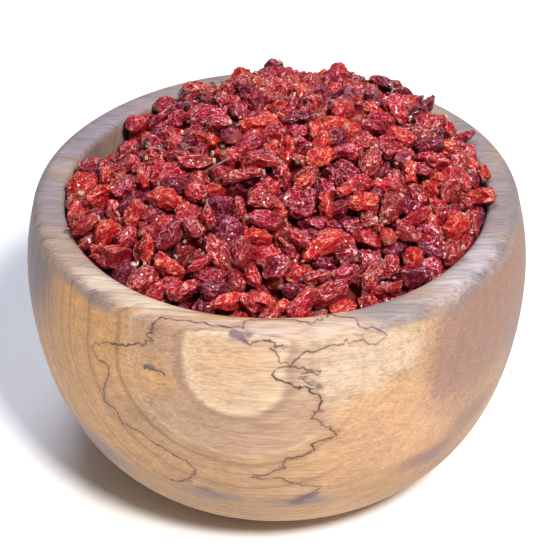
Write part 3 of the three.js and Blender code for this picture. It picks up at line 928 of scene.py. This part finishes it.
def berry_shapes(rng, length, width, thickness, around, rows):
    """Dried berries about their own axis: points (n, rows, around, 3), creases and end tints."""
    count = len(length)
    t = -np.cos(np.linspace(0.0, math.pi, rows) * 0.97 + 0.015 * math.pi)[None, :, None]
    phi = (np.arange(around) * 2 * math.pi / around)[None, None, :]
    grid = (count, rows, around)

    def draw(low, high):
        return rng.uniform(low, high, count)[:, None, None]

    t_all = np.broadcast_to(t, grid)
    form = np.clip(1 - t_all**2, 0, 1) ** draw(0.32, 0.48)
    form = form * (1 + draw(-0.20, 0.22) * t_all)
    form = form * (1 - draw(0.0, 0.3) * np.exp(-(((t_all + 1) / 0.3) ** 2)))
    form = form / form.max(axis=(1, 2), keepdims=True)
    unit = np.stack([form * np.cos(phi), form * np.sin(phi), np.broadcast_to(t_all, grid)], axis=-1)

    # Flattened and fallen-in places: what lies beyond a plane is pressed back to it, or further.
    fallen = np.zeros(grid)
    for number in range(7):
        way = rng.normal(size=(count, 1, 1, 3)) * (1, 1, 0.55)
        way /= np.linalg.norm(way, axis=3, keepdims=True)
        beyond = np.sum(unit * way, axis=3) - draw(0.60, 1.0)
        beyond = 0.5 * (beyond + np.sqrt(beyond**2 + 0.02**2))
        press = draw(0.75, 1.6 if number < 4 else 1.15)
        unit = unit - way * (beyond * press)[..., None]
        fallen += beyond * np.clip(press - 0.6, 0, None)

    size = np.stack([width / 2, thickness / 2, length / 2], axis=1)[:, None, None]
    own = rng.uniform(0, 400, (count, 1, 1, 3))
    place = unit * size
    sample = (place + own).reshape(-1, 3)
    warp = np.stack([noise(sample, 2.6, 61 + k) for k in range(3)], axis=1)
    lumps = noise(sample, 3.6, 65).reshape(grid)
    bent = sample + 0.8 * warp

    def ridges(wavelength, seed):
        """1 along a net of narrow ridges, towards 0 in the hollows between them."""
        return np.clip(1 - 2.4 * np.abs(noise(bent, wavelength, seed)), 0, 1).reshape(grid)

    net = 0.55 * ridges(1.5, 67) + 0.45 * ridges(0.95, 71)
    bent_turn = phi + 0.55 * warp[:, 0].reshape(grid) + draw(-0.7, 0.7) * t_all
    folds = np.zeros(grid)
    for waves in (5, 7, 11):
        lean = draw(0, 6.3) + draw(-0.5, 0.5) * waves * np.sin(draw(1, 3) * t_all)
        folds += draw(0.1, 0.5) * (1 - 2 * np.abs(np.sin(waves * bent_turn / 2 + lean)) ** 0.8)

    rough = draw(0.6, 1.35)
    outward = unit * (1, 1, 0.8)
    outward = outward / np.maximum(np.linalg.norm(outward, axis=3, keepdims=True), 1e-6)
    rise = 0.28 * lumps + 0.20 * folds * (1 - t_all**4) + rough * 0.78 * (net - 0.45)
    place = place + outward * (rise - 0.12)[..., None]
    bend = draw(-0.08, 0.08) * length[:, None, None]
    place[..., 1] += bend * (t_all**2 - 0.35)
    crease = np.clip(0.62 - 0.75 * net * rough - 0.30 * folds + 0.9 * fallen, 0, 1)
    end_tint = draw(-0.8, 0.6) * smooth(0.55, 1.0, t_all + 0.25 * lumps)
    return place, crease, np.clip(end_tint, 0, 1)


def tip_shapes(count, rng, around, radius, height):
    """Small buttons about +Z: points (n, rings, around, 3)."""
    rings = [(0.55, -0.6), (1.0, 0.15), (0.94, 0.85), (0.62, 1.0), (0.30, 0.62)]
    phi = np.arange(around) * 2 * math.pi / around
    points = np.zeros((count, len(rings), around, 3))
    for row, (share, rise) in enumerate(rings):
        wave = 1 + 0.10 * np.sin(phi[None] * 3 + rng.uniform(0, 6.3, (count, 1)))
        points[:, row, :, 0] = radius[:, None] * share * wave * np.cos(phi)
        points[:, row, :, 1] = radius[:, None] * share * wave * np.sin(phi)
        points[:, row, :, 2] = height[:, None] * rise
    return points


def tube_faces(count, rows, around):
    """Faces of `count` closed forms, each `rows` rings of `around` points, closed at both ends."""
    ring = np.arange(around)
    after = (ring + 1) % around
    faces = [np.stack([row * around + ring, row * around + after,
                       (row + 1) * around + after, (row + 1) * around + ring], axis=1)
             for row in range(rows - 1)]
    # Each end is closed by a strip across the ring, which starts and ends in a triangle.
    k = np.arange(1, around // 2 - 1)
    strip = np.stack([k, k + 1, around - k - 1, around - k], axis=1)
    first, final = (0, 1, around - 1), (around // 2 - 1, around // 2, around // 2 + 1)
    top = np.array([(*first, first[2]), *strip, (*final, final[2])])
    bottom = np.array([(*first[::-1], first[0]), *strip[:, ::-1], (*final[::-1], final[0])])
    faces += [bottom, top + (rows - 1) * around]
    one = np.concatenate(faces)
    shift = (np.arange(count) * rows * around)[:, None, None]
    return (one[None] + shift).reshape(-1, 4)


def frames_of(along, roll):
    """Turning matrices (n, 3, 3) whose third column is each berry's axis."""
    up = np.where(np.abs(along[:, 2:3]) < 0.9, np.array([[0.0, 0, 1]]), np.array([[1.0, 0, 0]]))
    side = unit(np.cross(up, along))
    other = np.cross(along, side)
    cos, sin = np.cos(roll)[:, None], np.sin(roll)[:, None]
    return np.stack([side * cos + other * sin, other * cos - side * sin, along], axis=2)


GRIDS = {"near": (42, 25), "part": (26, 16), "deep": (14, 9)}  # columns and rows of a berry's mesh
TIP_AROUND = 10  # columns of a button's mesh


def berries_mesh(name, rng, berries, chosen):
    """One joined mesh of the chosen berries, with their end buttons and stalk stubs."""
    parts = []
    for level, (around, rows) in GRIDS.items():
        index = np.where(chosen & (berries["seen"] == level))[0]
        if len(index) == 0:
            continue
        sizes = (berries[key][index] for key in ("length", "width", "thickness"))
        own, crease, end_tint = berry_shapes(rng, *sizes, around, rows)
        turn = frames_of(berries["along"][index], berries["roll"][index])
        centre = berries["centre"][index]
        shade = np.repeat(berries["shade"][index], rows * around)
        skin_place = own + rng.uniform(0, 90, (len(index), 1, 1, 3))
        parts.append((placed(own, turn, centre), tube_faces(len(index), rows, around), crease.ravel(),
                      np.zeros(crease.size), shade, end_tint.ravel(), skin_place.reshape(-1, 3)))
        if level != "deep":
            parts += [tips(rng, own, turn, centre, top) for top in (True, False)]
    names = ("crease", "tip", "shade", "end_tint", "skin_place")
    return joined(name, parts, names)


def joined(name, parts, names=()):
    """One mesh object of parts, each of points, faces and the named values at its points."""
    starts = np.cumsum([0] + [len(part[0]) for part in parts])
    faces = np.concatenate([part[1] + start for part, start in zip(parts, starts)])
    points, *values = (np.concatenate(c) for k, c in enumerate(zip(*parts)) if k != 1)
    return grid_mesh(name, points, faces, dict(zip(names, values)))


def placed(own, turn, centre):
    """Points about each berry's own axis, turned and moved into the heap, clear of the wood."""
    points = (np.einsum("nij,nabj->nabi", turn, own) + centre[:, None, None]).reshape(-1, 3)
    out = np.hypot(points[:, 0], points[:, 1])
    over_rim = (out > RIM_INNER_RADIUS) & (points[:, 2] > BOWL_HEIGHT - 1.0)
    points[over_rim, 2] = np.maximum(points[over_rim, 2], BOWL_HEIGHT + WOOD_GAP)
    inner = PROFILE_RUN > INNER_EDGE_RUN
    room = np.interp(points[:, 2], PROFILE[inner, 1][::-1], PROFILE[inner, 0][::-1]) - WOOD_GAP
    shrink = np.where(over_rim | (points[:, 2] > BOWL_HEIGHT), 1, np.minimum(1, room / np.maximum(out, 1e-6)))
    points[:, :2] *= shrink[:, None]
    return points


def tips(rng, own, turn, centre, top):
    """The buttons at the berries' tops, or the stubs of their stalks."""
    who = np.where(rng.uniform(size=len(own)) < (0.6 if top else 0.3))[0]
    radius = rng.uniform(0.5, 0.85, len(who)) * (1.0 if top else 0.55)
    height = rng.uniform(0.4, 0.7, len(who)) * (1.0 if top else 2.0)
    button = tip_shapes(len(who), rng, TIP_AROUND, radius, height)
    end = own[who, -1 if top else 0].mean(axis=1)
    if not top:
        button = button * (1, -1, -1)
    button = button + end[:, None, None] - (0, 0, 0.12 if top else -0.12)
    points = placed(button, turn[who], centre[who])
    zero = np.zeros(len(points))
    shade = np.repeat(rng.uniform(-0.5, 0.5, len(who)), button.shape[1] * TIP_AROUND)
    return points, tube_faces(len(who), button.shape[1], TIP_AROUND), zero, zero + 1, shade, zero, points


# Thin stalks, each by pixels of the picture along it and its diameter in millimetres.
STEMS = [
    ((203, 173), (212, 167), (221, 163), (233, 156), 0.42),
    ((112, 171), (119, 176), (128, 180), (133, 181), 0.4),
    ((391, 95), (393, 88), (388, 84), (383, 86), 0.5),
    ((176, 155), (184, 150), (190, 147), (197, 147), 0.3),
    ((430, 205), (437, 208), (445, 208), (452, 205), 0.3),
]
# Loose buttons, by pixels of the picture.
BUTTONS = [
    (222, 147), (192, 263), (203, 256), (380, 220), (308, 307), (160, 150), (245, 119), (148, 146),
    (252, 77), (300, 186), (417, 190), (279, 286), (341, 262), (232, 226),
]


def build_litter(rng):
    """The thin stalks and loose buttons that lie among the berries."""
    parts = []
    around = 8
    phi = np.arange(around) * 2 * math.pi / around
    ring = np.stack([np.cos(phi), np.sin(phi), 0 * phi], axis=1)
    for *places, diameter in STEMS:
        line = np.array([on_heap(*place, -0.9 if 0 < k < 3 else 0.8) for k, place in enumerate(places)])
        line = resampled(line, 0.4)
        line = line + 0.10 * np.stack([noise(line, 1.6, 90 + k) for k in range(3)], axis=1)
        turn = frames_of(unit(np.gradient(line, axis=0)), np.zeros(len(line)))
        radius = diameter / 2 * (1 + 0.25 * noise(line, 1.1, 95))
        tube = line[:, None] + np.einsum("nij,aj->nai", turn, ring) * radius[:, None, None]
        parts.append((tube.reshape(-1, 3), tube_faces(1, len(line), around)))
    count = len(BUTTONS)
    centre = np.array([on_heap(*place, 0.9) for place in BUTTONS])
    radius, height = rng.uniform(0.42, 0.66, count), rng.uniform(0.4, 0.9, count)
    buttons = tip_shapes(count, rng, TIP_AROUND, radius, height)
    buttons = buttons + 0.16 * rng.normal(size=buttons.shape)
    along = unit(rng.normal(size=(count, 3)) * 0.5 + (0, -0.5, 0.8))
    parts.append((placed(buttons, frames_of(along, np.zeros(count)), centre),
                  tube_faces(count, buttons.shape[1], TIP_AROUND)))
    dry = plain_material("dry_stem", 1500, 3, (92, 62, 50), (166, 130, 108), 0.7)
    piece(joined("stalks_and_buttons", parts), dry, "barberries", "barberries")


def heap_core():
    """The dark mass under the berries that show, standing for the deeper berries in painted shade."""
    rings, around = 22, 72
    angles = [2 * math.pi * k / around for k in range(around)]
    turns = [(math.cos(angle), math.sin(angle)) for angle in angles]
    points = [(0, 0, heap_level(0, 0) - CORE_DEPTH)]
    for ring in range(1, rings + 1):
        for cos, sin in turns:
            x, y = CORE_REACH * ring / rings * cos, CORE_REACH * ring / rings * sin
            points.append((x, y, heap_level(x, y) - CORE_DEPTH))
    last = len(points)
    points += [(CORE_FOOT * cos, CORE_FOOT * sin, CORE_BOTTOM) for cos, sin in turns]
    points = np.array(points, float)
    points[:last, 2] += noise(points[:last], 5, 83)
    faces = [(0, 1 + k, 1 + (k + 1) % around) for k in range(around)]
    for a in range(1, last, around):
        b = a + around
        faces += [(a + k, b + k, b + (k + 1) % around, a + (k + 1) % around) for k in range(around)]
    faces.append([last + k for k in range(around)][::-1])
    return mesh_object("heap_core", points, faces, {})


def choose_kinds(rng, count):
    """The kind of each berry: as in the picture, and otherwise by the kinds' shares."""
    shares = np.array([kind["share"] for kind in KINDS.values()])
    kinds = np.repeat(np.arange(len(shares)), np.round(shares / shares.sum() * count).astype(int) + 1)
    kinds = rng.permutation(kinds)[:count]
    names = list(KINDS)
    kinds[:len(KNOWN_BERRIES)] = [names.index("berries_" + known[5]) for known in KNOWN_BERRIES]
    return kinds


def build_heap():
    """The berries of each kind, the core under them and what lies on them."""
    rng = np.random.default_rng(SEED)
    berries = pack_berries(rng)
    count = len(berries["length"])
    berries["roll"] = rng.uniform(0, 2 * math.pi, count)
    berries["shade"] = rng.normal(0.0, 0.16, count)
    berries["shade"][:len(KNOWN_BERRIES)] = [known[6] for known in KNOWN_BERRIES]
    berries["seen"] = seen_levels(berries)
    kinds = choose_kinds(rng, count)
    for number, (name, kind) in enumerate(KINDS.items()):
        obj = berries_mesh(name, rng, berries, kinds == number)
        piece(obj, berry_material(name, kind), "barberries", "barberries")
    shadow = plain_material("heap_shadow", 260, 3, (64, 1, 5), (120, 4, 12), 0.8, bump=(0.002, 0.8))
    piece(heap_core(), shadow, "barberries", "barberries")
    build_litter(rng)


# ---- stage


def build_stage():
    """A pale floor, soft daylight and two lamps."""
    bpy.ops.mesh.primitive_plane_add(size=6, location=(0, 0, 0))
    floor = bpy.context.object
    floor.name = "floor"
    pale = plain_material("pale_floor", 4, 2, (250, 250, 251), (254, 254, 254), 0.9)
    floor.data.materials.append(pale)

    scene = bpy.context.scene
    world = bpy.data.worlds.new("daylight")
    scene.world = world
    world.use_nodes = True
    background = world.node_tree.nodes["Background"]
    background.inputs["Color"].default_value = (0.90, 0.95, 1.0, 1)
    background.inputs["Strength"].default_value = 0.12
    scene.view_settings.view_transform = "Standard"

    add_light("key", (0.32, -0.60, 0.90), 0.20, 15.4, (1.0, 0.97, 0.93))
    add_light("sky", (-0.10, 0.35, 0.90), 0.45, 5.6, (0.80, 0.85, 1.0))


def add_light(name, place, size, watts, colour):
    """A square light that faces the bowl."""
    light = bpy.data.lights.new(name, "AREA")
    light.size = size
    light.energy = watts
    light.color = colour
    obj = new_object(name, light)
    obj.location = place
    aim = Vector((0, 0, 0.05)) - obj.location
    obj.rotation_euler = aim.to_track_quat("-Z", "Y").to_euler()


def build_camera():
    """The photograph's viewing angle, from a camera fitted to the bowl's outline."""
    camera = bpy.data.cameras.new("camera")
    camera.sensor_width = 36
    camera.lens = FOCAL * camera.sensor_width / PICTURE
    obj = new_object("camera", camera)
    obj.matrix_world = Matrix.Translation(CAMERA_PLACE * MM) @ CAMERA_TURN.to_4x4()
    bpy.context.scene.camera = obj


build_camera()
build_stage()
piece(build_bowl(), wood_material(), "bowl", "bowl")
build_heap()
